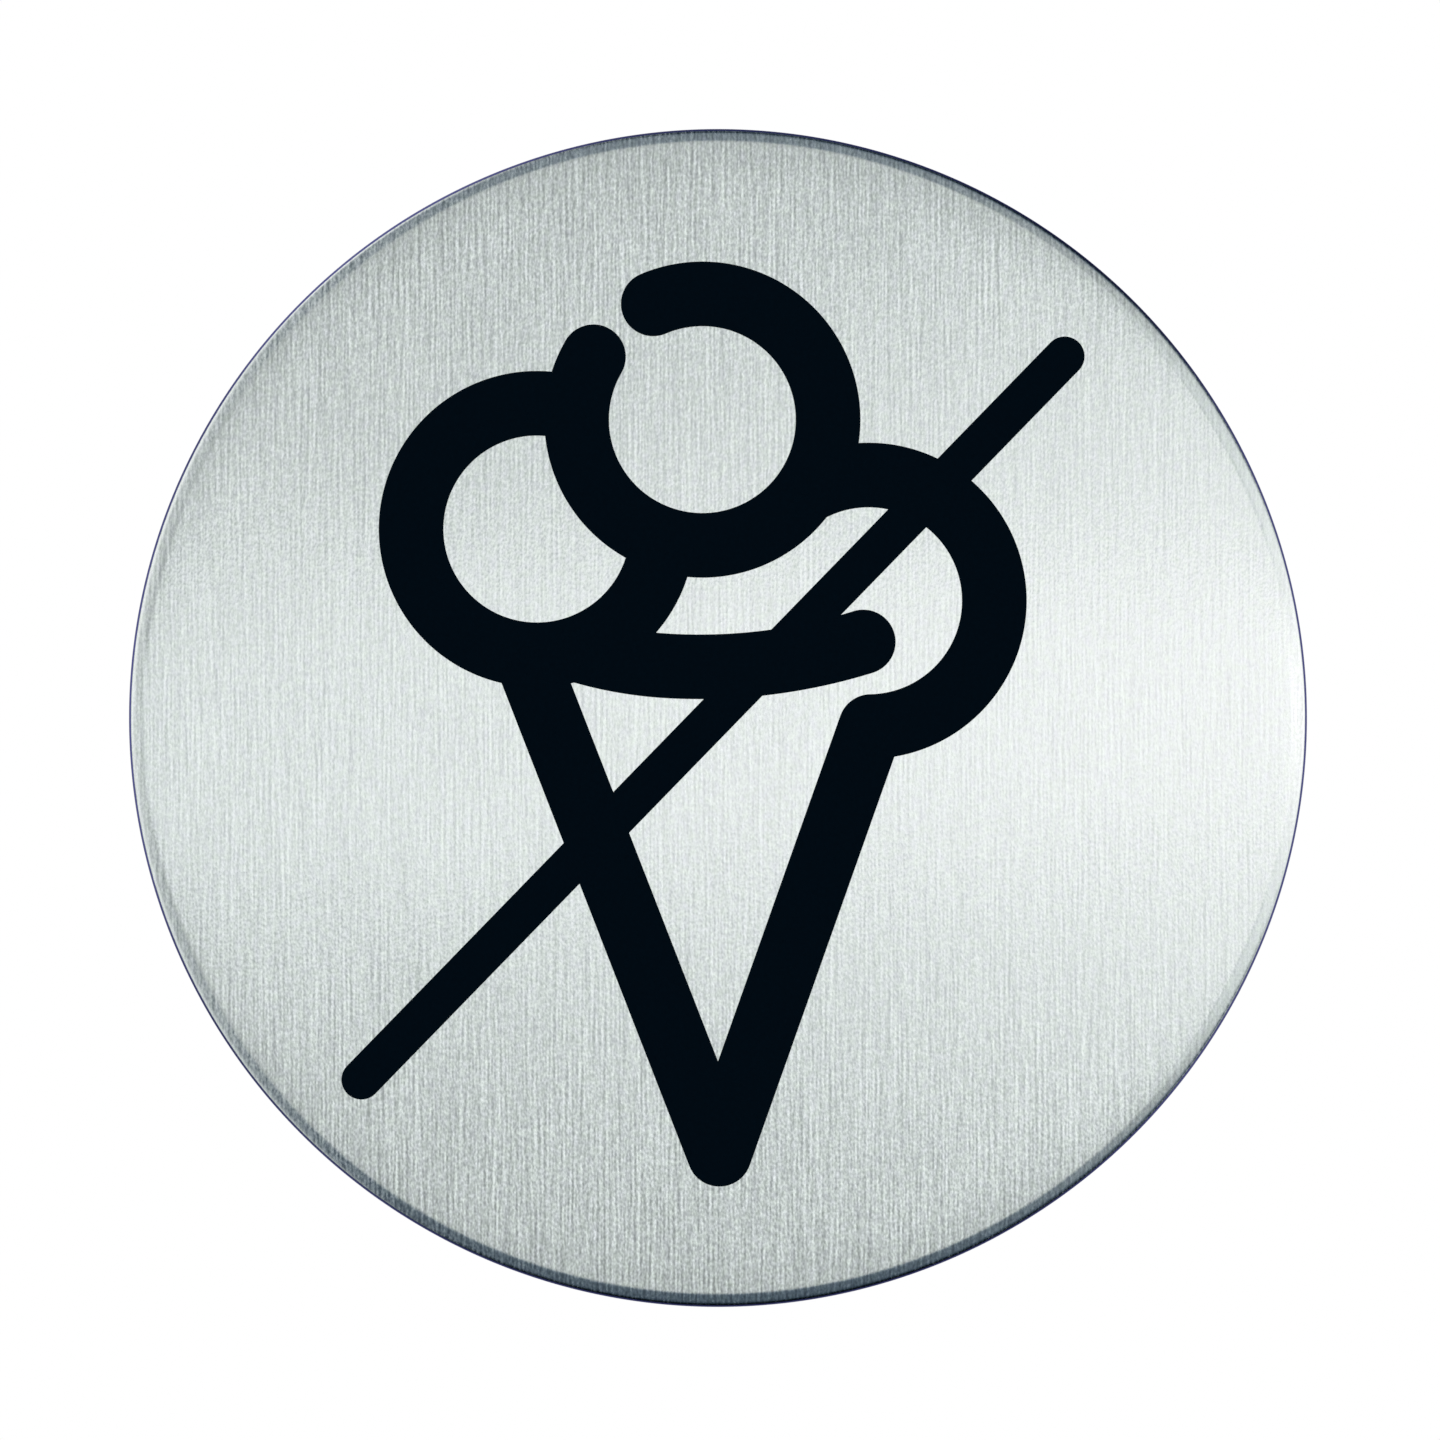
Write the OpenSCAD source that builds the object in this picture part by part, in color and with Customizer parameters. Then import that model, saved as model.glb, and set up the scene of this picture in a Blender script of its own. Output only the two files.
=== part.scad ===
// Round door or wall sign for "no eating": a brushed steel disc with a printed
// ice cream cone and a diagonal bar, held by a foam adhesive pad on its back.
// Every piece is drawn lying flat, face up, with X to the right and Y up the
// sign, and is then stood upright: the printed face looks along -Y, +Z is up
// and the origin is the centre of the adhesive face that meets the wall.

/* [Plate] */
// Diameter of the steel disc, in mm
sign_d = 83; // [65:1:105]
// Thickness of the steel sheet, in mm
plate_t = 1; // [0.8:0.1:1.5]
// Width of the rim that slopes away from the flat face, in mm
rim_w = 0.95; // [0.7:0.05:1.2]
// Slope of the rim below the flat face, in degrees
rim_tilt = 11; // [6:1:15]
// Radius that blends the flat face into the rim, in mm
blend_r = 1; // [0.4:0.1:1.2]
// Radius of the front corner, outside the rim, in mm
front_r = 0.35; // [0.2:0.05:0.4]
// Radius left by deburring the back corner, in mm
back_r = 0.12; // [0.05:0.01:0.15]

/* [Symbol] */
// Thickness of the printed ink, in mm
ink_t = 0.05; // [0.03:0.01:0.15]
// Width of the cone's and scoops' strokes on an 83 mm sign, in mm
stroke_w = 4.55; // [3.6:0.05:5.4]
// Radius of the scoops to the middle of the stroke, on an 83 mm sign, in mm
scoop_r = 8.85; // [8.7:0.05:9.4]
// Width of the diagonal bar on an 83 mm sign, in mm
bar_w = 2.8; // [2:0.1:4]
// Length of the bar between the centres of its ends, on an 83 mm sign, in mm
bar_l = 71; // [60:0.5:74]
// Angle of the diagonal bar above the horizontal, in degrees
bar_tilt = 45.8; // [40:0.2:50]

/* [Adhesive pad] */
// Width of bare steel left around the foam pad, in mm
pad_margin = 3.5; // [2:0.5:12]
// Thickness of the foam pad, in mm
pad_t = 1; // [0.5:0.1:2]

/* [Hidden] */
$fn = 180;

steel = "#D3DAD7";
ink = "#030C14";
foam = "#E9E7DF";

// The symbol is laid out on a sign of this diameter and scaled to sign_d
layout_d = 83;
symbol_scale = sign_d / layout_d;
layer_t = ink_t / symbol_scale;

// Round ends stand this far outside their strokes, so that the two cross
end_proud = 0.01;

// Scoop centres, and the open ends of the top scoop's stroke in degrees
top_scoop = [-1.1, 21];
left_scoop = [-12.75, 13.3];
right_scoop = [10.6, 8.25];
gap_left = 150;
gap_right = 113;

// Centre of the diagonal bar
bar_centre = [-0.35, 0];

// The cone: its tip, the hidden top of its left side, and where its right
// side turns out of the right scoop
cone_tip = [0.1, -30.7];
cone_left_top = [-13.2, 3.5];
cone_turn = -89;

// The cone's rim: a long arc that ends in the round nose on the right and
// a shorter arc, tangent to it at rim_join, that hides behind the left scoop
rim_centre = [-1.3, 42.35];
rim_long_r = 38.75;
rim_short_r = 27.5;
rim_start = 253;
rim_join = 266.7;
rim_end = 287.3;

// Largest turn between two points of the plate's rounded corners
arc_step = 6;

plate_r = sign_d / 2;
plate_back = pad_t;
plate_front = pad_t + plate_t;

function unit(a) = [cos(a), sin(a)];
function bearing(p, q) = atan2(q.y - p.y, q.x - p.x);

// Angle, seen from scoop p, between scoop q and where the two strokes cross
function crossing(p, q) = acos(min(1, norm(q - p) / (2 * scoop_r)));

// Points that round a section's corner: outward normals turn anticlockwise
// from one edge's to the next one's, which the arc of radius r touches
function rounded(corner, from, to, r) =
    let (centre = corner - r / cos((to - from) / 2) * unit((from + to) / 2))
    let (steps = ceil((to - from) / arc_step))
    [for (i = [0:steps]) centre + r * unit(from + (to - from) * i / steps)];

// Half section of the plate: radius along X, height above the back along Y
module plate_section() {
    slope_start = [plate_r - rim_w + blend_r * tan(rim_tilt / 2), plate_t];
    slope_end = [plate_r, plate_t - (plate_r - slope_start.x) * tan(rim_tilt)];
    slope_normal = 90 - rim_tilt;
    polygon(concat(
        [[0, plate_t], [0, 0]],
        rounded([plate_r, 0], -90, 0, back_r),
        rounded(slope_end, 0, slope_normal, front_r),
        rounded(slope_start, slope_normal, 90, blend_r)
    ));
}

// A straight stroke with square ends
module straight(p, q, w) {
    translate(p) rotate(bearing(p, q)) translate([0, -w / 2, 0]) cube([norm(q - p), w, layer_t]);
}

// A stroke that leaves the origin along +Y and bends left on radius r
module bend(r, turn, w) {
    translate([-r, 0, 0]) rotate_extrude(angle = turn) translate([r - w / 2, 0]) square([w, layer_t]);
}

// A stroke on part of a circle, anticlockwise, with square ends
module curved(centre, r, from, to, w) {
    translate(centre) rotate(from) translate([r, 0, 0]) bend(r, to - from, w);
}

// The round end of a stroke, or the round outside of a corner between two
module round_end(p, w) {
    translate(p) cylinder(d = w + 2 * end_proud, h = layer_t);
}

// Ends that no round_end() covers are hidden in the stroke that they run into.
module scoops() {
    left_on_top = bearing(left_scoop, top_scoop);
    left_hidden = crossing(left_scoop, top_scoop);
    right_on_top = bearing(right_scoop, top_scoop);
    right_hidden = crossing(right_scoop, top_scoop);
    curved(top_scoop, scoop_r, gap_left, gap_right + 360, stroke_w);
    curved(left_scoop, scoop_r, left_on_top + left_hidden, left_on_top - left_hidden + 360, stroke_w);
    curved(right_scoop, scoop_r, cone_turn, right_on_top - right_hidden, stroke_w);
    for (gap_end = [gap_left, gap_right])
        round_end(top_scoop + scoop_r * unit(gap_end), stroke_w);
}

module cone() {
    right_top = right_scoop + scoop_r * unit(cone_turn);
    straight(cone_left_top, cone_tip, stroke_w);
    straight(right_top, cone_tip, stroke_w);
    for (corner = [right_top, cone_tip])
        round_end(corner, stroke_w);
}

module cone_rim() {
    translate(rim_centre + rim_long_r * unit(rim_join)) rotate(rim_join) {
        bend(rim_long_r, rim_end - rim_join, stroke_w);
        mirror([0, 1, 0]) bend(rim_short_r, rim_join - rim_start, stroke_w);
    }
    round_end(rim_centre + rim_long_r * unit(rim_end), stroke_w);
}

module bar() {
    half = bar_l / 2 * unit(bar_tilt);
    straight(bar_centre - half, bar_centre + half, bar_w);
    for (side = [-1, 1])
        round_end(bar_centre + side * half, bar_w);
}

module sign_plate() {
    color(steel)
        upright(plate_back) rotate_extrude() plate_section();
}

module printed_symbol() {
    color(ink)
        upright(plate_front) scale(symbol_scale) {
            scoops();
            cone();
            cone_rim();
            bar();
        }
}

module adhesive_pad() {
    color(foam)
        upright(0) cylinder(r = plate_r - pad_margin, h = pad_t);
}

// Stands a piece drawn face up on its edge, height h in front of the wall
module upright(h) {
    rotate([90, 0, 0]) translate([0, 0, h]) children();
}

sign_plate();
printed_symbol();
adhesive_pad();
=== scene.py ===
"""Looks of a round brushed steel door sign: the disc, its printed pictogram and its foam pad.

Sizes are in millimetres, as on a drawing, and each mesh is turned to metres when it is made.
Drawings lie flat with x to the right and z up the sign. The printed face looks along -Y.
"""

import math

import bpy
import numpy as np
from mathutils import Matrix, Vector
from mathutils.geometry import delaunay_2d_cdt


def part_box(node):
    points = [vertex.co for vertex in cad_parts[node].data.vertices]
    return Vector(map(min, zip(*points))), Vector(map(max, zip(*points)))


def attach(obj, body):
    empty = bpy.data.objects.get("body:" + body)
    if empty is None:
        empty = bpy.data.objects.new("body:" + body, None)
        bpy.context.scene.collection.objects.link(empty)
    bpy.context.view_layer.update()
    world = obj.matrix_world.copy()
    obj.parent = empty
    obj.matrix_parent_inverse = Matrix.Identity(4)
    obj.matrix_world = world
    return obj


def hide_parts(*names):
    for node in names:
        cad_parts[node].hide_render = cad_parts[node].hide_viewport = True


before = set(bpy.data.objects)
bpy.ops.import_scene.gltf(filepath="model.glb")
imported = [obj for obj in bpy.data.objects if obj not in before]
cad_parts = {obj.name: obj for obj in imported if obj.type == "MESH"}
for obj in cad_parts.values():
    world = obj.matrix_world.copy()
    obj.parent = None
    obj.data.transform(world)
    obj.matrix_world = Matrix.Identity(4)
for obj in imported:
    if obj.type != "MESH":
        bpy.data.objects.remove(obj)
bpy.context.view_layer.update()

MM = 0.001
PHOTO_PX = 1440


def node_box_mm(name):
    """Lowest and highest corner of a CAD node, in millimetres."""
    low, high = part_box(name)
    return np.array(low) / MM, np.array(high) / MM


plate_low, plate_high = node_box_mm("sign_plate")
ink_low, ink_high = node_box_mm("printed_symbol")
pad_low, pad_high = node_box_mm("adhesive_pad")

# The disc: where its faces are
SIGN_R = (plate_high[0] - plate_low[0]) / 2
PLATE_FRONT = plate_low[1]
PLATE_BACK = plate_high[1]
PLATE_T = PLATE_BACK - PLATE_FRONT
FLAT_RINGS = (0, 12, 24, 36)
DISC_TURNS = 720

# Its edge, from the face outwards: the face falls away slowly from ROLL_START_R to ROLL_TILT
# degrees, a blend tips it to the rim's slope, and each arc (from tilt, to tilt, radius) tips it on
ROLL_START_R = 37.0
ROLL_TILT = 0.9
RIM_W = 1.2
RIM_TILT = 11
BLEND_R = 2.5
EDGE_ARCS = ((11, 15, 2.0), (15, 28, 0.8), (28, 90, 0.28))
BACK_R = 0.12

# How far behind the face the outer edge shows, and where the edge's blue tint begins and is full
EDGE_DEPTH = 0.42
BLUE_TINT_W = (0.19, 0.15)

# The print: its strokes are laid out on an 83 mm sign
LAYOUT_SCALE = SIGN_R / 41.5
STROKE_W = 4.55
SCOOP_R = 8.85
TOP_SCOOP = np.array([-1.1, 21.0])
LEFT_SCOOP = np.array([-12.75, 13.3])
RIGHT_SCOOP = np.array([10.6, 8.25])
GAP_LEFT = 150
GAP_RIGHT = 113
CONE_TIP = np.array([0.1, -30.7])
CONE_LEFT_TOP = np.array([-13.2, 3.5])
CONE_TURN = -89
RIM_CENTRE = np.array([-1.3, 42.35])
RIM_LONG_R = 38.75
RIM_SHORT_R = 27.5
RIM_START = 253
RIM_JOIN = 266.7
RIM_END = 287.3
BAR_CENTRE = np.array([-0.35, 0.0])
BAR_L = 71.0
BAR_W = 2.8
BAR_TILT = 45.8

# The camera: straight in front, with the disc where the photograph has it
DISC_R_PX = 589.07
DISC_CENTRE_PX = 718.0
LENS = 150.0
SENSOR = 36.0


def srgb(code):
    """A colour written as #RRGGBB, as the linear colour that Blender works in."""
    parts = [int(code[k:k + 2], 16) / 255 for k in (1, 3, 5)]
    return [p / 12.92 if p <= 0.04045 else ((p + 0.055) / 1.055) ** 2.4 for p in parts] + [1.0]


def add(tree, kind, inputs=None, **settings):
    """Adds one node: settings are its own properties, inputs gives sockets a value or a link."""
    made = tree.nodes.new(kind)
    for name, value in settings.items():
        setattr(made, name, value)
    for socket, value in (inputs or {}).items():
        if isinstance(value, bpy.types.NodeSocket):
            tree.links.new(value, made.inputs[socket])
        else:
            made.inputs[socket].default_value = value
    return made


def new_material(name):
    """An empty material and its node tree."""
    made = bpy.data.materials.new(name)
    made.use_nodes = True
    made.node_tree.nodes.clear()
    return made, made.node_tree


def new_piece(name, points, faces, materials, face_material=None, smooth=True):
    """Makes a mesh object from an array of points in millimetres and a list of faces."""
    mesh = bpy.data.meshes.new(name)
    mesh.from_pydata((np.asarray(points) * MM).tolist(), [], faces)
    for material in materials:
        mesh.materials.append(material)
    if face_material is not None:
        mesh.polygons.foreach_set("material_index", np.asarray(face_material, dtype=np.int32))
    mesh.polygons.foreach_set("use_smooth", np.full(len(mesh.polygons), smooth))
    mesh.update()
    made = bpy.data.objects.new(name, mesh)
    bpy.context.scene.collection.objects.link(made)
    return made


def unit(degrees):
    """The point, or points, on a circle of radius 1 at an angle in degrees."""
    a = np.radians(degrees)
    return np.stack([np.cos(a), np.sin(a)], axis=-1)


def fillet(corner, start, end, r, steps):
    """Points of an arc of radius r in a section's corner, for outward normals from start to end.

    Its centre lies inside the corner, r over the cosine of half the turn away from it.
    """
    centre = np.asarray(corner) - r / math.cos(math.radians(end - start) / 2) * unit((start + end) / 2)
    return centre + r * unit(np.linspace(start, end, steps))


def bend(start, tilt, new_tilt, r, steps):
    """Points of an arc of radius r that tips a section's surface from one tilt to another (degrees)."""
    normals = 90 - np.linspace(tilt, new_tilt, steps)
    return start + r * (unit(normals) - unit(90 - tilt))


def revolve(section, turns):
    """Turns a section about the sign's axis: its point (r, y) goes to (r cos a, y, r sin a).

    The section starts and ends on the axis, so its first and last points each become one pole.
    The faces come one band after another, as many to a band as there are turns.
    """
    angles = np.arange(turns) * 2 * np.pi / turns
    inner = section[1:-1]
    ring_x = inner[:, :1] * np.cos(angles)
    ring_z = inner[:, :1] * np.sin(angles)
    ring_y = np.repeat(inner[:, 1:], turns, axis=1)
    grid = np.stack([ring_x, ring_y, ring_z], axis=-1).reshape(-1, 3)
    points = np.vstack([[0, section[0, 1], 0], grid, [0, section[-1, 1], 0]])
    here = np.arange(turns)
    after = (here + 1) % turns
    band = np.stack([here, after, after + turns, here + turns], axis=1)
    quads = 1 + band + turns * np.arange(len(inner) - 1)[:, None, None]
    last = 1 + turns * (len(inner) - 1)
    first_fan = np.stack([here * 0, 1 + after, 1 + here], axis=1)
    last_fan = np.stack([last + here, last + after, here * 0 + len(points) - 1], axis=1)
    return points, first_fan.tolist() + quads.reshape(-1, 4).tolist() + last_fan.tolist()


def planar_uv(made, name):
    """A UV map with u along the sign's x and v along its z, so that a tangent runs across the grain."""
    mesh = made.data
    corner = np.zeros(len(mesh.loops), dtype=np.int32)
    mesh.loops.foreach_get("vertex_index", corner)
    place = np.zeros(len(mesh.vertices) * 3)
    mesh.vertices.foreach_get("co", place)
    flat = place.reshape(-1, 3)[corner][:, [0, 2]] / (2 * SIGN_R * MM) + 0.5
    layer = mesh.uv_layers.new(name=name)
    layer.data.foreach_set("uv", flat.astype(np.float32).ravel())


# Materials

def streaks(tree, coords, width, length, seed, aside=0.0):
    """Noise drawn out along z, in streaks of that width and length, moved aside along x (mm)."""
    scaled = add(tree, "ShaderNodeMapping", {
        "Vector": coords, "Location": (seed + aside / width, seed * 0.7, seed * 1.3),
        "Scale": (1 / (width * MM), 1 / (width * MM), 1 / (length * MM))})
    noise = add(tree, "ShaderNodeTexNoise", {"Vector": scaled.outputs[0], "Scale": 1.0, "Detail": 0.0})
    return noise.outputs[0]


def brushed_steel():
    """Stainless steel sheet with a vertical belt-brushed finish.

    The eye sees fine upright lines and short flecks, and light that spreads sideways into a level
    band. A scratch has two flanks that face opposite ways, so the lines are one noise less the same
    noise moved aside. Real scratches are finer than 0.1 mm: these are as coarse as the eye makes out.
    They are drawn weaker halfway up and towards the right and the top: this is painted light, for the
    glare of the bright light there, and not a change in the finish. They are drawn weaker halfway up
    and towards the right and the top, only because they look so in the one photo: the cause may be its
    light and not the finish. Faint specks carry a trace of hue. The last of the rim is tinted blue,
    like the cut edge and with the same doubt.
    """
    made, tree = new_material("belt_brushed_stainless_steel")
    coords = add(tree, "ShaderNodeTexCoord").outputs["Object"]
    # Each noise has a width, a length and a move aside in mm, and a seed and a weight
    grain = 0.0
    for width, length, seed, aside, weight in (
        (0.22, 5.0, 3.1, 0.00, 0.40),
        (0.22, 5.0, 3.1, 0.12, -0.40),
        (0.18, 1.3, 7.7, 0.00, 0.24),
        (0.18, 1.3, 7.7, 0.09, -0.24),
        (0.80, 9.0, 5.1, 0.00, 0.12),
        (0.13, 0.22, 12.9, 0.00, 0.46),
    ):
        marks = streaks(tree, coords, width, length, seed, aside)
        total = add(tree, "ShaderNodeMath", {0: marks, 1: weight, 2: grain}, operation="MULTIPLY_ADD")
        grain = total.outputs[0]

    # Painted light: the streaks' depth drops halfway up and towards the right and the top, standing in
    # for glare
    apart = add(tree, "ShaderNodeSeparateXYZ", {0: coords})
    height = add(tree, "ShaderNodeMath", {0: apart.outputs["Z"]}, operation="ABSOLUTE")
    painted_light_calm = add(tree, "ShaderNodeMapRange", {
        "Value": height.outputs[0], "From Min": 14 * MM, "From Max": 36 * MM,
        "To Min": 0.50, "To Max": 0.0}, interpolation_type="SMOOTHSTEP")
    painted_light_slant = add(tree, "ShaderNodeVectorMath", {0: coords, 1: (1.8, 0, 2.2)}, operation="DOT_PRODUCT")
    painted_light_calm = add(tree, "ShaderNodeMath", {
        0: painted_light_calm.outputs[0], 1: painted_light_slant.outputs["Value"]}, operation="ADD")
    depth = add(tree, "ShaderNodeMath", {0: 0.94, 1: painted_light_calm.outputs[0]}, operation="SUBTRACT")
    swing = add(tree, "ShaderNodeMapRange", {
        "Value": grain, "From Min": 0.045, "From Max": 0.535, "To Min": -0.5, "To Max": 0.5})
    level = add(tree, "ShaderNodeMath", {
        0: swing.outputs[0], 1: depth.outputs[0], 2: 0.5}, operation="MULTIPLY_ADD")
    bright = add(tree, "ShaderNodeMix", {
        "Factor": level.outputs[0], "A": srgb("#A8B0AF"), "B": srgb("#F4FFFD")}, data_type="RGBA")
    specks = streaks(tree, coords, 0.45, 0.50, 21.7)
    hue = add(tree, "ShaderNodeMix", {
        "Factor": specks, "A": srgb("#FCF9FF"), "B": srgb("#FDFFF9")}, data_type="RGBA")
    colour = add(tree, "ShaderNodeMix", {
        "Factor": 1.0, "A": bright.outputs["Result"], "B": hue.outputs["Result"]},
        data_type="RGBA", blend_type="MULTIPLY")
    rough = add(tree, "ShaderNodeMapRange", {
        "Value": swing.outputs[0], "From Min": -0.5, "From Max": 0.5, "To Min": 0.08, "To Max": 0.20})
    bump = add(tree, "ShaderNodeBump", {"Height": grain, "Strength": 0.25, "Distance": 0.02 * MM})

    place = add(tree, "ShaderNodeVectorMath", {0: coords, 1: (1, 0, 1)}, operation="MULTIPLY")
    radius = add(tree, "ShaderNodeVectorMath", {0: place.outputs[0]}, operation="LENGTH")
    # The last of the face is drawn dark blue towards the edge; what causes it is not known.
    tint_from, tint_to = [(SIGN_R - w) * MM for w in BLUE_TINT_W]
    at_edge = add(tree, "ShaderNodeMapRange", {
        "Value": radius.outputs["Value"], "From Min": tint_from, "From Max": tint_to},
        interpolation_type="SMOOTHSTEP")
    tinted = add(tree, "ShaderNodeMix", {
        "Factor": at_edge.outputs[0], "A": colour.outputs["Result"], "B": srgb("#5E5F84")},
        data_type="RGBA")
    tangent = add(tree, "ShaderNodeTangent", direction_type="UV_MAP", uv_map="GrainUV")
    shader = add(tree, "ShaderNodeBsdfPrincipled", {
        "Base Color": tinted.outputs["Result"], "Metallic": 1.0, "Roughness": rough.outputs[0],
        "Anisotropic": 1.0, "Normal": bump.outputs[0], "Tangent": tangent.outputs[0]})
    add(tree, "ShaderNodeOutputMaterial", {"Surface": shader.outputs[0]})
    return made


def cut_edge_steel():
    """The cut edge of stainless sheet, lightly deburred.

    The eye sees a line darker and bluer than the face, with fine marks along it. The blue is
    drawn into its colour, and what causes it is not known.
    """
    made, tree = new_material("blue_tinted_cut_steel")
    coords = add(tree, "ShaderNodeTexCoord").outputs["Object"]
    scaled = add(tree, "ShaderNodeMapping", {
        "Vector": coords, "Scale": (1 / (0.12 * MM), 1 / (1.2 * MM), 1 / (0.12 * MM))})
    lines = add(tree, "ShaderNodeTexNoise", {"Vector": scaled.outputs[0], "Scale": 1.0, "Detail": 2.0})
    colour = add(tree, "ShaderNodeMix", {
        "Factor": lines.outputs[0], "A": srgb("#4A4C80"), "B": srgb("#5C5E98")}, data_type="RGBA")
    bump = add(tree, "ShaderNodeBump", {
        "Height": lines.outputs[0], "Strength": 0.3, "Distance": 0.03 * MM})
    shader = add(tree, "ShaderNodeBsdfPrincipled", {
        "Base Color": colour.outputs["Result"], "Metallic": 1.0, "Roughness": 0.30,
        "Normal": bump.outputs[0]})
    add(tree, "ShaderNodeOutputMaterial", {"Surface": shader.outputs[0]})
    return made


def mill_steel():
    """The back of the sheet, left as rolled: the eye sees a dull, even grey, finely frosted."""
    made, tree = new_material("cold_rolled_steel_back")
    coords = add(tree, "ShaderNodeTexCoord").outputs["Object"]
    frost = add(tree, "ShaderNodeTexNoise", {"Vector": coords, "Scale": 1 / (0.35 * MM), "Detail": 3.0})
    cloud = add(tree, "ShaderNodeTexNoise", {"Vector": coords, "Scale": 1 / (14 * MM), "Detail": 2.0})
    both = add(tree, "ShaderNodeMath", {
        0: frost.outputs[0], 1: 0.5, 2: cloud.outputs[0]}, operation="MULTIPLY_ADD")
    colour = add(tree, "ShaderNodeMix", {
        "Factor": both.outputs[0], "A": srgb("#A9AFAF"), "B": srgb("#C9CECD")}, data_type="RGBA")
    rough = add(tree, "ShaderNodeMapRange", {"Value": both.outputs[0], "To Min": 0.3, "To Max": 0.46})
    bump = add(tree, "ShaderNodeBump", {
        "Height": frost.outputs[0], "Strength": 0.15, "Distance": 0.02 * MM})
    shader = add(tree, "ShaderNodeBsdfPrincipled", {
        "Base Color": colour.outputs["Result"], "Metallic": 1.0, "Roughness": rough.outputs[0],
        "Normal": bump.outputs[0]})
    add(tree, "ShaderNodeOutputMaterial", {"Surface": shader.outputs[0]})
    return made


def printing_ink():
    """Screen-printed enamel ink: blue-black and dense, it gives back almost no light from the front."""
    made, tree = new_material("screen_printed_black_enamel")
    coords = add(tree, "ShaderNodeTexCoord").outputs["Object"]
    mesh_marks = add(tree, "ShaderNodeTexNoise", {
        "Vector": coords, "Scale": 1 / (0.3 * MM), "Detail": 2.0})
    colour = add(tree, "ShaderNodeMix", {
        "Factor": mesh_marks.outputs[0], "A": srgb("#00070F"), "B": srgb("#000B15")}, data_type="RGBA")
    bump = add(tree, "ShaderNodeBump", {
        "Height": mesh_marks.outputs[0], "Strength": 0.2, "Distance": 0.01 * MM})
    shader = add(tree, "ShaderNodeBsdfPrincipled", {
        "Base Color": colour.outputs["Result"], "Roughness": 0.45, "Specular IOR Level": 0.015,
        "Normal": bump.outputs[0]})
    add(tree, "ShaderNodeOutputMaterial", {"Surface": shader.outputs[0]})
    return made


def pad_foam():
    """White closed-cell polyethylene foam, die-cut, with a thin tacky film on the wall's side.

    The eye sees a matt warm white, pricked by cells, with faint clouds where the film is thicker.
    """
    made, tree = new_material("white_polyethylene_foam")
    coords = add(tree, "ShaderNodeTexCoord").outputs["Object"]
    cells = add(tree, "ShaderNodeTexVoronoi", {"Vector": coords, "Scale": 1 / (0.45 * MM)})
    cloud = add(tree, "ShaderNodeTexNoise", {"Vector": coords, "Scale": 1 / (9 * MM), "Detail": 3.0})
    shade = add(tree, "ShaderNodeMath", {0: cells.outputs["Distance"], 1: 0.35, 2: cloud.outputs[0]},
                operation="MULTIPLY_ADD")
    colour = add(tree, "ShaderNodeMix", {
        "Factor": shade.outputs[0], "A": srgb("#E1DED4"), "B": srgb("#F0EEE7")}, data_type="RGBA")
    rough = add(tree, "ShaderNodeMapRange", {"Value": cloud.outputs[0], "To Min": 0.34, "To Max": 0.6})
    bump = add(tree, "ShaderNodeBump", {
        "Height": cells.outputs["Distance"], "Strength": 0.35, "Distance": 0.05 * MM})
    shader = add(tree, "ShaderNodeBsdfPrincipled", {
        "Base Color": colour.outputs["Result"], "Roughness": rough.outputs[0],
        "Normal": bump.outputs[0]})
    add(tree, "ShaderNodeOutputMaterial", {"Surface": shader.outputs[0]})
    return made


# Pieces

def steel_disc():
    """The disc: a section with a rolled rim, turned about the axis.

    Heights in the section run from the back (0) to the front (plate thickness). Outwards, the
    flat face falls away as the cube of the way, then come an arc into the rim's straight slope,
    three ever tighter arcs that end upright at the outer edge, and the small round at the back.
    """
    roll_out = np.linspace(ROLL_START_R, SIGN_R - RIM_W, 7)[:-1]
    roll_w = SIGN_R - RIM_W - ROLL_START_R
    roll = math.tan(math.radians(ROLL_TILT)) * (roll_out - ROLL_START_R) ** 3 / (3 * roll_w ** 2)
    rim_start = np.array([SIGN_R - RIM_W, PLATE_T - math.tan(math.radians(ROLL_TILT)) * roll_w / 3])
    rim = bend(rim_start, ROLL_TILT, RIM_TILT, BLEND_R, 13)
    arcs_w = [r * (math.sin(math.radians(b)) - math.sin(math.radians(a))) for a, b, r in EDGE_ARCS]
    slope_w = SIGN_R - rim[-1, 0] - sum(arcs_w)
    rim = np.vstack([rim, rim[-1] + slope_w * np.array([1, -math.tan(math.radians(RIM_TILT))])])
    for tilt, new_tilt, r in EDGE_ARCS:
        rim = np.vstack([rim, bend(rim[-1], tilt, new_tilt, r, 9)[1:]])
    section = np.vstack([
        [(r, 0) for r in FLAT_RINGS],
        fillet([SIGN_R, 0], -90, 0, BACK_R, 7),
        rim[::-1],
        np.stack([roll_out, PLATE_T - roll], axis=1)[::-1],
        [(r, PLATE_T) for r in FLAT_RINGS[2::-1]],
    ])
    middle = (section[1:] + section[:-1]) / 2
    band_slot = np.where(middle[:, 0] > SIGN_R - arcs_w[-1], 1, 0)
    band_slot[(middle[:, 1] < BACK_R) & (middle[:, 0] < SIGN_R - BACK_R)] = 2
    section[:, 1] = PLATE_BACK - section[:, 1]
    points, faces = revolve(section, DISC_TURNS)
    made = new_piece("brushed_disc", points, faces, [brushed_steel(), cut_edge_steel(), mill_steel()],
                     np.repeat(band_slot, DISC_TURNS))
    planar_uv(made, "GrainUV")
    return made


def arc(centre, r, start, end):
    """Points of an arc, anticlockwise from start to end in degrees, about one to a degree."""
    return centre + r * unit(np.linspace(start, end, math.ceil(end - start) + 1))


def line(p, q):
    """Points of a straight line from p to q, about one to a millimetre."""
    return np.linspace(p, q, int(np.linalg.norm(q - p)) + 1)


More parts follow.
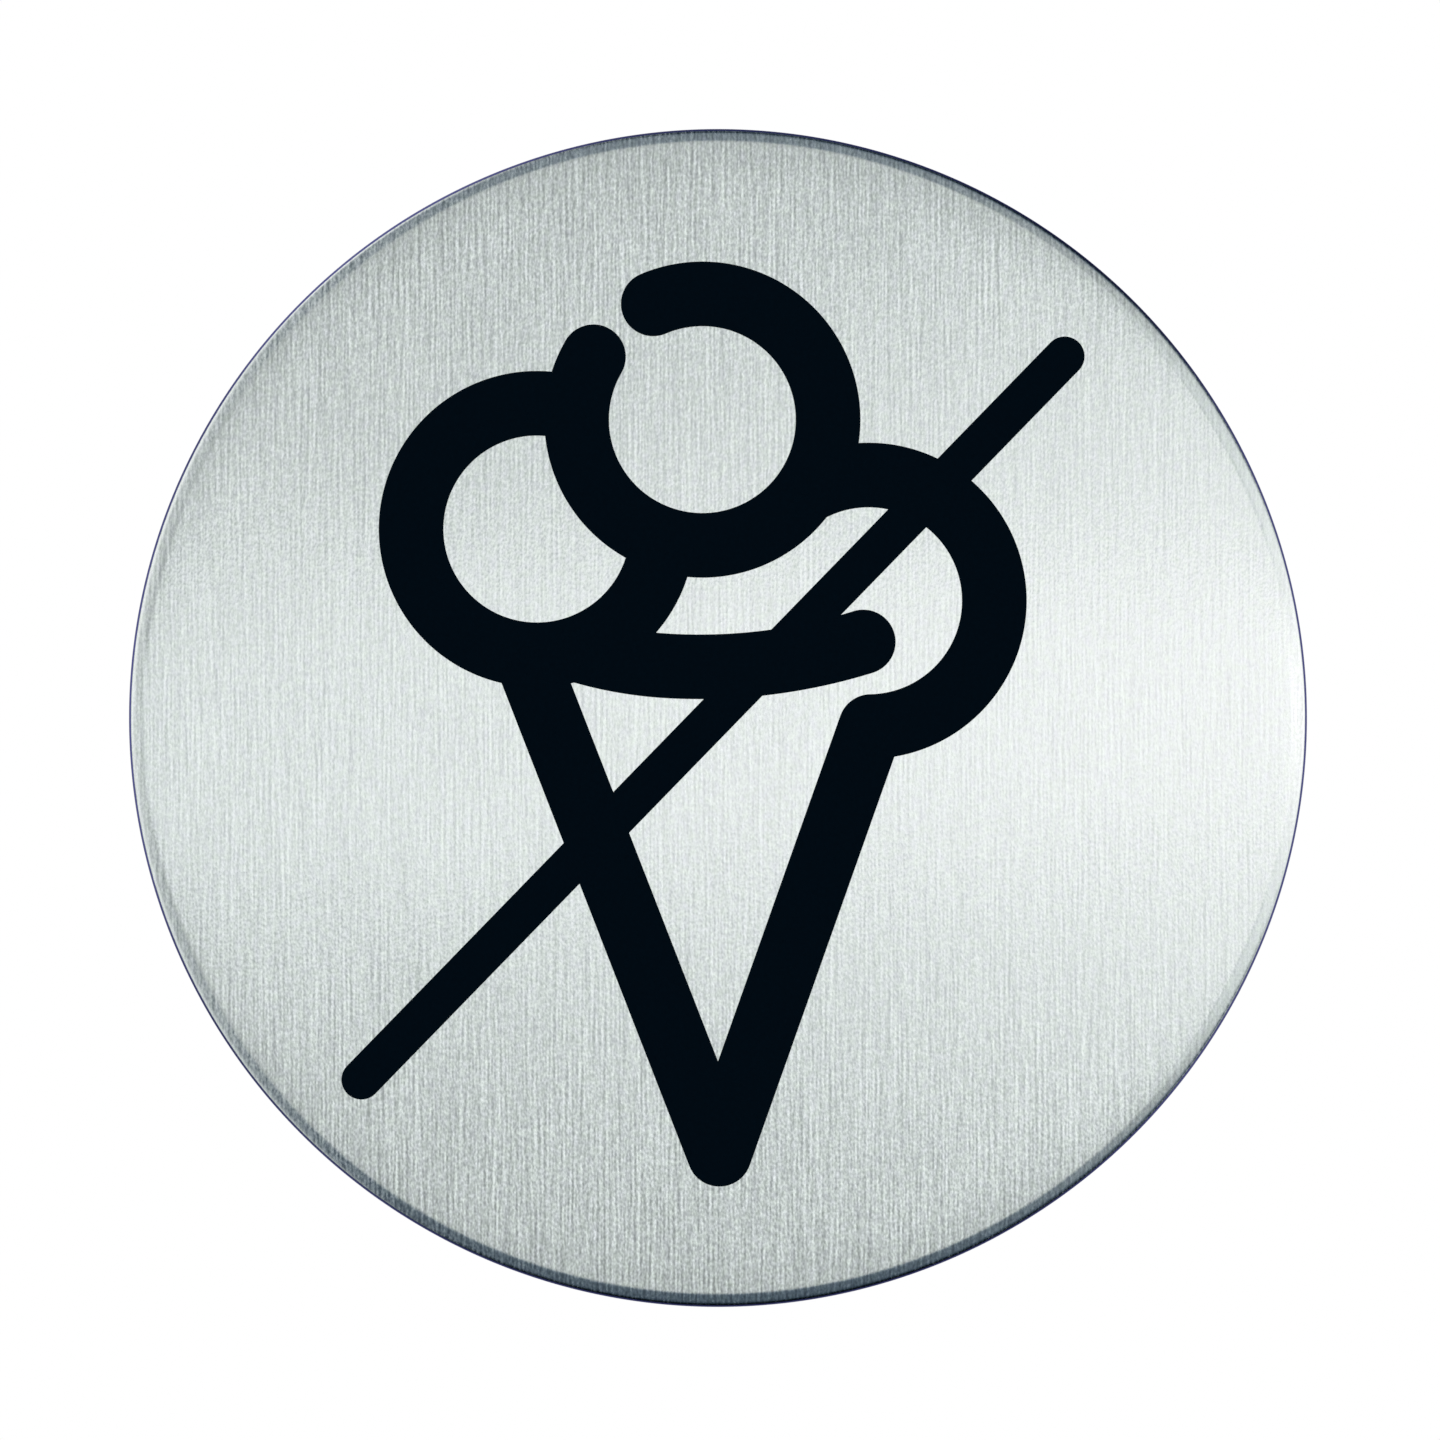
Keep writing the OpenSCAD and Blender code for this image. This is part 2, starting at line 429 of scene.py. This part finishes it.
def stroke(path, width, round_start, round_end):
    """The outline of a flat stroke along a path, as a ring: out along its right, back along its left.

    At a round end the path runs on by half a width, and the half width s short of the end is
    sqrt(h squared - t squared), where h is half the stroke's width and t the way past the end.
    """
    half = width / 2
    turn = np.radians(np.linspace(0, 90, 25)[1:])
    ahead = path[-1] - path[-2]
    ahead /= np.linalg.norm(ahead)
    behind = path[0] - path[1]
    behind /= np.linalg.norm(behind)
    halves = np.full(len(path), half)
    if round_end:
        path = np.vstack([path, path[-1] + np.outer(np.sin(turn) * half, ahead)])
        halves = np.append(halves, np.cos(turn) * half)
    if round_start:
        path = np.vstack([(path[0] + np.outer(np.sin(turn) * half, behind))[::-1], path])
        halves = np.append((np.cos(turn) * half)[::-1], halves)
    along = np.gradient(path, axis=0)
    if round_start:
        along[:len(turn) + 1] = -behind
    if round_end:
        along[-len(turn) - 1:] = ahead
    along /= np.linalg.norm(along, axis=1, keepdims=True)
    across = np.stack([-along[:, 1], along[:, 0]], axis=1) * halves[:, None]
    return np.vstack([path - across, (path + across)[::-1]])


def pictogram():
    """The three-scoop cone and the bar across it, as one flat print.

    The strokes' outlines are laid over each other and filled with triangles. Those inside any
    stroke are the front, the same turned over are the back, and each edge of the front that
    belongs to one triangle alone carries a wall.
    """
    def bearing(p, q):
        """The direction from p to q, in degrees."""
        return math.degrees(math.atan2(q[1] - p[1], q[0] - p[0]))

    def crossing(p, q):
        """The angle, seen from scoop p, between scoop q and where the two strokes cross."""
        return math.degrees(math.acos(min(1.0, np.linalg.norm(q - p) / (2 * SCOOP_R))))

    left_on_top, left_hidden = bearing(LEFT_SCOOP, TOP_SCOOP), crossing(LEFT_SCOOP, TOP_SCOOP)
    right_on_top, right_hidden = bearing(RIGHT_SCOOP, TOP_SCOOP), crossing(RIGHT_SCOOP, TOP_SCOOP)
    right_top = RIGHT_SCOOP + SCOOP_R * unit(CONE_TURN)
    short_centre = RIM_CENTRE + (RIM_LONG_R - RIM_SHORT_R) * unit(RIM_JOIN)
    cone_rim = np.vstack([
        arc(short_centre, RIM_SHORT_R, RIM_START, RIM_JOIN),
        arc(RIM_CENTRE, RIM_LONG_R, RIM_JOIN, RIM_END)[1:]])
    half_bar = BAR_L / 2 * unit(BAR_TILT)
    strokes = [
        stroke(arc(TOP_SCOOP, SCOOP_R, GAP_LEFT, GAP_RIGHT + 360), STROKE_W, True, True),
        stroke(arc(LEFT_SCOOP, SCOOP_R, left_on_top + left_hidden, left_on_top - left_hidden + 360),
               STROKE_W, False, False),
        stroke(arc(RIGHT_SCOOP, SCOOP_R, CONE_TURN, right_on_top - right_hidden),
               STROKE_W, True, False),
        stroke(line(CONE_LEFT_TOP, CONE_TIP), STROKE_W, False, True),
        stroke(line(right_top, CONE_TIP), STROKE_W, True, True),
        stroke(cone_rim, STROKE_W, False, True),
        stroke(line(BAR_CENTRE - half_bar, BAR_CENTRE + half_bar), BAR_W, True, True),
    ]
    ends = np.cumsum([len(ring) for ring in strokes])
    rings = [list(range(end - len(ring), end)) for ring, end in zip(strokes, ends)]
    flat, _, triangles, _, _, sources = delaunay_2d_cdt(
        (np.vstack(strokes) * LAYOUT_SCALE).tolist(), [], rings, 0, 1e-4)
    flat = np.array(flat)
    front = np.array([triangle for triangle, source in zip(triangles, sources) if source])
    count = len(flat)
    edges = np.vstack([front[:, [0, 1]], front[:, [1, 2]], front[:, [2, 0]]])
    shared = np.isin(edges @ [count, 1], edges @ [1, count])
    outline = edges[~shared]
    walls = np.column_stack([outline[:, ::-1], outline + count])
    depth = np.repeat([ink_low[1], ink_high[1]], count)
    points = np.column_stack([np.tile(flat[:, 0], 2), depth, np.tile(flat[:, 1], 2)])
    faces = front.tolist() + (front[:, ::-1] + count).tolist() + walls.tolist()
    return new_piece("printed_cone", points, faces, [printing_ink()], smooth=False)


def foam_disc():
    """The adhesive pad: a die-cut foam disc, a section turned about the axis.

    Its cut edge draws in between the two faces as a half wave, draw_in * sin(pi * the way up), and
    meets them in arcs of radius soft.
    """
    pad_r = (pad_high[0] - pad_low[0]) / 2
    thick = pad_high[1] - pad_low[1]
    soft = 0.07
    draw_in = 0.05
    level = np.linspace(soft, thick - soft, 9)
    waist = pad_r - draw_in * np.sin(np.pi * (level - soft) / (thick - 2 * soft))
    section = np.vstack([
        [(r, 0) for r in FLAT_RINGS[:3]],
        fillet([pad_r, 0], -90, 0, soft, 5),
        np.stack([waist, level], axis=1)[1:-1],
        fillet([pad_r, thick], 0, 90, soft, 5),
        [(r, thick) for r in FLAT_RINGS[2::-1]],
    ])
    section[:, 1] = pad_high[1] - section[:, 1]
    points, faces = revolve(section, 360)
    return new_piece("foam_pad", points, faces, [pad_foam()])


# Stage

def studio_floor():
    """A pale floor below the sign: a disc of radius r at one height, points r (cos a, sin a).

    It is matt off-white paint, which takes the sign's soft shadow and fades into the white beyond.
    """
    height = -350.0
    turns = 96
    rings = np.array([60.0, 140.0, 240.0, 340.0, 450.0])
    angles = np.arange(turns) * 2 * np.pi / turns
    grid = (rings[:, None, None] * np.stack([np.cos(angles), np.sin(angles)], axis=-1)).reshape(-1, 2)
    points = np.vstack([[0, 0, height], np.column_stack([grid, np.full(len(grid), height)])])
    here = np.arange(turns)
    after = (here + 1) % turns
    band = np.stack([here, here + turns, after + turns, after], axis=1)
    quads = 1 + band + turns * np.arange(len(rings) - 1)[:, None, None]
    faces = np.stack([here * 0, 1 + here, 1 + after], axis=1).tolist() + quads.reshape(-1, 4).tolist()
    made, tree = new_material("pale_studio_floor")
    coords = add(tree, "ShaderNodeTexCoord").outputs["Object"]
    distance = add(tree, "ShaderNodeVectorMath", {0: coords}, operation="LENGTH")
    fade = add(tree, "ShaderNodeMapRange", {
        "Value": distance.outputs["Value"], "From Min": 400 * MM, "From Max": 560 * MM},
        interpolation_type="SMOOTHSTEP")
    paint = add(tree, "ShaderNodeBsdfDiffuse", {"Color": srgb("#F4F4F2")})
    white = add(tree, "ShaderNodeEmission", {"Color": (1, 1, 1, 1), "Strength": 1.0})
    mixed = add(tree, "ShaderNodeMixShader", {
        "Fac": fade.outputs[0], 1: paint.outputs[0], 2: white.outputs[0]})
    add(tree, "ShaderNodeOutputMaterial", {"Surface": mixed.outputs[0]})
    floor = new_piece("studio_floor", points, faces, [made])
    floor.visible_glossy = False
    return floor


def studio_world():
    """White behind the sign for the eye, and the levels that its metal mirrors, by direction.

    x, y and z say where a reflection looks, with y = -1 straight back at the camera. Two levels
    are mixed by turn(y, z), and a third, white, stands behind the sign:
    - ahead is near(z) * (1.05 + sideways(x) * spread(z)) + strip(x, z) + lens(z) + glow(x): a wide
      light that is brighter to the right, with a brighter level band and the dark camera in it;
    - aside is base(z) * dim(y) and a sum of soft boxes and pale walls, each a product of smooth
      steps: below, right and right_box, left, corner, side, far_left and sky. The right one is
      also a lobe, x over the root of (1 - y squared), to the fourth power.
    The lower the level, the bluer its light, as the square root of the level.
    The numbers were fitted by trial to one photo from the front, and a few were set for
    views from the sides. They aren't a real room, and a fit to that photo says nothing of
    other views.
    """
    world = bpy.data.worlds.new("studio")
    bpy.context.scene.world = world
    world.use_nodes = True
    tree = world.node_tree
    tree.nodes.clear()
    looks = add(tree, "ShaderNodeTexCoord").outputs["Generated"]
    value = dict(zip("xyz", add(tree, "ShaderNodeSeparateXYZ", {0: looks}).outputs))
    ramp_sockets = ("Value", "From Min", "From Max", "To Min", "To Max")
    for name, operation, *terms in (
        ("above", "SUBTRACT", "z", 0.002),
        ("height", "ABSOLUTE", "above"),
        ("above_band", "SUBTRACT", "z", 0.008),
        ("off_band", "ABSOLUTE", "above_band"),
        ("near", "SMOOTHSTEP", "height", 0.03, 0.12, 0.91, 0.64),
        ("sideways", "SMOOTHSTEP", "x", -0.16, 0.18, -0.27, 0.41),
        ("spread", "SMOOTHSTEP", "off_band", 0.060, 0.115, 1.0, 0.15),
        ("upper", "MULTIPLY_ADD", "x", 0.02, "z"),
        ("down", "MULTIPLY", "z", -1.0),
        ("lower", "MULTIPLY_ADD", "x", 0.10, "down"),
        ("off_strip", "MAXIMUM", "upper", "lower"),
        ("strip", "SMOOTHSTEP", "off_strip", 0.022, 0.033, 0.285, 0.0),
        ("lens", "SMOOTHSTEP", "height", 0.0, 0.018, -0.07, 0.0),
        ("slope", "MULTIPLY_ADD", "sideways", "spread", 1.05),
        ("wide", "MULTIPLY_ADD", "near", "slope", "strip"),
        ("glow", "SMOOTHSTEP", "x", 0.13, 0.22, 0.0, 0.22),
        ("ahead", "ADD", "wide", "lens"),
        ("ahead", "ADD", "ahead", "glow"),

        ("base", "LINEAR", "z", -0.60, 0.46, 0.14, 0.34),
        ("dim", "SMOOTHSTEP", "y", -0.90, -0.66, 1.0, 0.05),
        ("below_y", "SMOOTHSTEP", "y", -0.42, -0.18, 0.0, 0.38),
        ("below_z", "SMOOTHSTEP", "z", -0.75, -0.45, 1.0, 0.0),
        ("below", "MULTIPLY", "below_y", "below_z"),
        ("y_squared", "MULTIPLY", "y", "y"),
        ("outward_squared", "SUBTRACT", 1.0, "y_squared"),
        ("outward", "SQRT", "outward_squared"),
        ("to_the_right", "DIVIDE", "x", "outward"),
        ("right_part", "MAXIMUM", "to_the_right", 0.0),
        ("lobe", "POWER", "right_part", 4.0),
        ("z_below", "MINIMUM", "z", 0.0),
        ("z_above", "MAXIMUM", "z", 0.0),
        ("sunk", "MULTIPLY_ADD", "z_below", -0.3, "y"),
        ("right_y", "SMOOTHSTEP", "sunk", -0.82, -0.60, 1.24, 0.15),
        ("right", "MULTIPLY", "lobe", "right_y"),
        ("box_z", "SMOOTHSTEP", "height", 0.12, 0.40, 0.6, 0.0),
        ("box_x", "SMOOTHSTEP", "x", 0.54, 0.66, 0.0, 1.0),
        ("box_y", "SMOOTHSTEP", "y", -0.60, -0.45, 1.0, 0.0),
        ("box_zx", "MULTIPLY", "box_z", "box_x"),
        ("right_box", "MULTIPLY", "box_zx", "box_y"),
        ("left_x", "SMOOTHSTEP", "x", -0.68, -0.29, 1.35, 0.0),
        ("left_y", "SMOOTHSTEP", "y", -0.66, -0.42, 1.0, 0.2),
        ("left_z", "SMOOTHSTEP", "z", -0.60, 0.60, 0.78, 1.15),
        ("left_xy", "MULTIPLY", "left_x", "left_y"),
        ("left", "MULTIPLY", "left_xy", "left_z"),
        ("corner_z", "SMOOTHSTEP", "z", 0.45, 0.65, 0.0, 0.7),
        ("corner_x", "SMOOTHSTEP", "x", -0.40, -0.10, 1.0, 0.0),
        ("corner", "MULTIPLY", "corner_z", "corner_x"),
        ("side_x", "MULTIPLY_ADD", "z_above", -0.25, "x"),
        ("side", "SMOOTHSTEP", "side_x", 0.59, 0.77, 0.0, 0.62),
        ("far_left", "SMOOTHSTEP", "x", -0.97, -0.84, 0.8, 0.0),
        ("sky", "SMOOTHSTEP", "z", 0.70, 1.0, 0.0, 0.3),
        ("aside", "MULTIPLY_ADD", "base", "dim", "below"),
        ("aside", "ADD", "aside", "right"),
        ("aside", "ADD", "aside", "right_box"),
        ("aside", "ADD", "aside", "left"),
        ("aside", "ADD", "aside", "corner"),
        ("aside", "ADD", "aside", "side"),
        ("aside", "ADD", "aside", "far_left"),
        ("aside", "ADD", "aside", "sky"),

        ("turned", "MULTIPLY_ADD", "z_below", -0.08, "y"),
        ("turn", "SMOOTHSTEP", "turned", -0.955, -0.885, 0.0, 1.0),
        ("behind", "SMOOTHSTEP", "y", 0.45, 0.85, 0.0, 1.0),
    ):
        terms = [value.get(term, term) for term in terms]
        if operation in ("LINEAR", "SMOOTHSTEP"):
            step = add(tree, "ShaderNodeMapRange", dict(zip(ramp_sockets, terms)),
                       interpolation_type=operation)
        else:
            step = add(tree, "ShaderNodeMath", dict(enumerate(terms)), operation=operation)
        value[name] = step.outputs[0]

    front = add(tree, "ShaderNodeMix", {
        "Factor": value["turn"], "A": value["ahead"], "B": value["aside"]}, data_type="FLOAT")
    around = add(tree, "ShaderNodeMix", {
        "Factor": value["behind"], "A": front.outputs["Result"], "B": 1.0}, data_type="FLOAT")
    mirrored = around.outputs["Result"]
    part = add(tree, "ShaderNodeMapRange", {"Value": mirrored, "From Max": 0.6})
    tint = add(tree, "ShaderNodeMath", {0: part.outputs[0]}, operation="SQRT")
    warm = add(tree, "ShaderNodeMapRange", {"Value": mirrored, "From Min": 0.98, "From Max": 1.6})
    shade = add(tree, "ShaderNodeMix", {
        "Factor": tint.outputs[0], "A": srgb("#60BCFF"), "B": srgb("#FFFFFF")}, data_type="RGBA")
    shade = add(tree, "ShaderNodeMix", {
        "Factor": warm.outputs[0], "A": shade.outputs["Result"], "B": srgb("#FFF6F7")},
        data_type="RGBA")

    path = add(tree, "ShaderNodeLightPath")
    to_eye = add(tree, "ShaderNodeMath", {
        0: path.outputs["Is Camera Ray"], 1: path.outputs["Is Transmission Ray"]}, operation="MAXIMUM")
    reflected = add(tree, "ShaderNodeMix", {
        "Factor": path.outputs["Is Glossy Ray"], "A": 0.8, "B": mirrored}, data_type="FLOAT")
    level = add(tree, "ShaderNodeMix", {
        "Factor": to_eye.outputs[0], "A": reflected.outputs["Result"], "B": 1.0}, data_type="FLOAT")
    colour = add(tree, "ShaderNodeMix", {
        "Factor": path.outputs["Is Glossy Ray"], "A": srgb("#FFFFFF"), "B": shade.outputs["Result"]},
        data_type="RGBA")
    light = add(tree, "ShaderNodeBackground", {
        "Color": colour.outputs["Result"], "Strength": level.outputs["Result"]})
    add(tree, "ShaderNodeOutputWorld", {"Surface": light.outputs[0]})


def softbox(name, place, width, height, level):
    """A rectangular soft light, in millimetres, aimed at the sign, whose surface has that brightness.

    It lights plain surfaces only: what the metal mirrors is all in the world.
    """
    light = bpy.data.lights.new(name, "AREA")
    light.shape = "RECTANGLE"
    light.size = width * MM
    light.size_y = height * MM
    light.energy = level * math.pi * light.size * light.size_y
    made = bpy.data.objects.new(name, light)
    made.location = Vector(place) * MM
    made.rotation_euler = (-Vector(place)).to_track_quat("-Z", "Y").to_euler()
    made.visible_glossy = False
    bpy.context.scene.collection.objects.link(made)


def camera():
    """Straight in front: the disc's outline has its radius and its centre in the photograph."""
    mm_per_px = SIGN_R / DISC_R_PX
    outline_y = PLATE_FRONT + EDGE_DEPTH
    distance = PHOTO_PX * mm_per_px * LENS / SENSOR
    shift = (PHOTO_PX / 2 - DISC_CENTRE_PX) * mm_per_px
    data = bpy.data.cameras.new("camera")
    data.lens = LENS
    data.sensor_width = SENSOR
    made = bpy.data.objects.new("camera", data)
    made.location = Vector((shift, outline_y - distance, -shift)) * MM
    made.rotation_euler = (math.radians(90), 0, 0)
    bpy.context.scene.collection.objects.link(made)
    bpy.context.scene.camera = made


camera()
studio_world()
studio_floor()
softbox("left_softbox", (-600, -380, 60), 300, 600, 1.2)
softbox("right_softbox", (620, -420, 0), 300, 600, 1.2)
softbox("overhead_softbox", (0, 100, 800), 600, 500, 1.0)

for piece, node, slot in (
    (steel_disc(), "sign_plate", "brushed_steel"),
    (pictogram(), "printed_symbol", "black_ink"),
    (foam_disc(), "adhesive_pad", "foam_pad"),
):
    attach(piece, "root")
    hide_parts(node)

bpy.context.scene.view_settings.view_transform = "Standard"
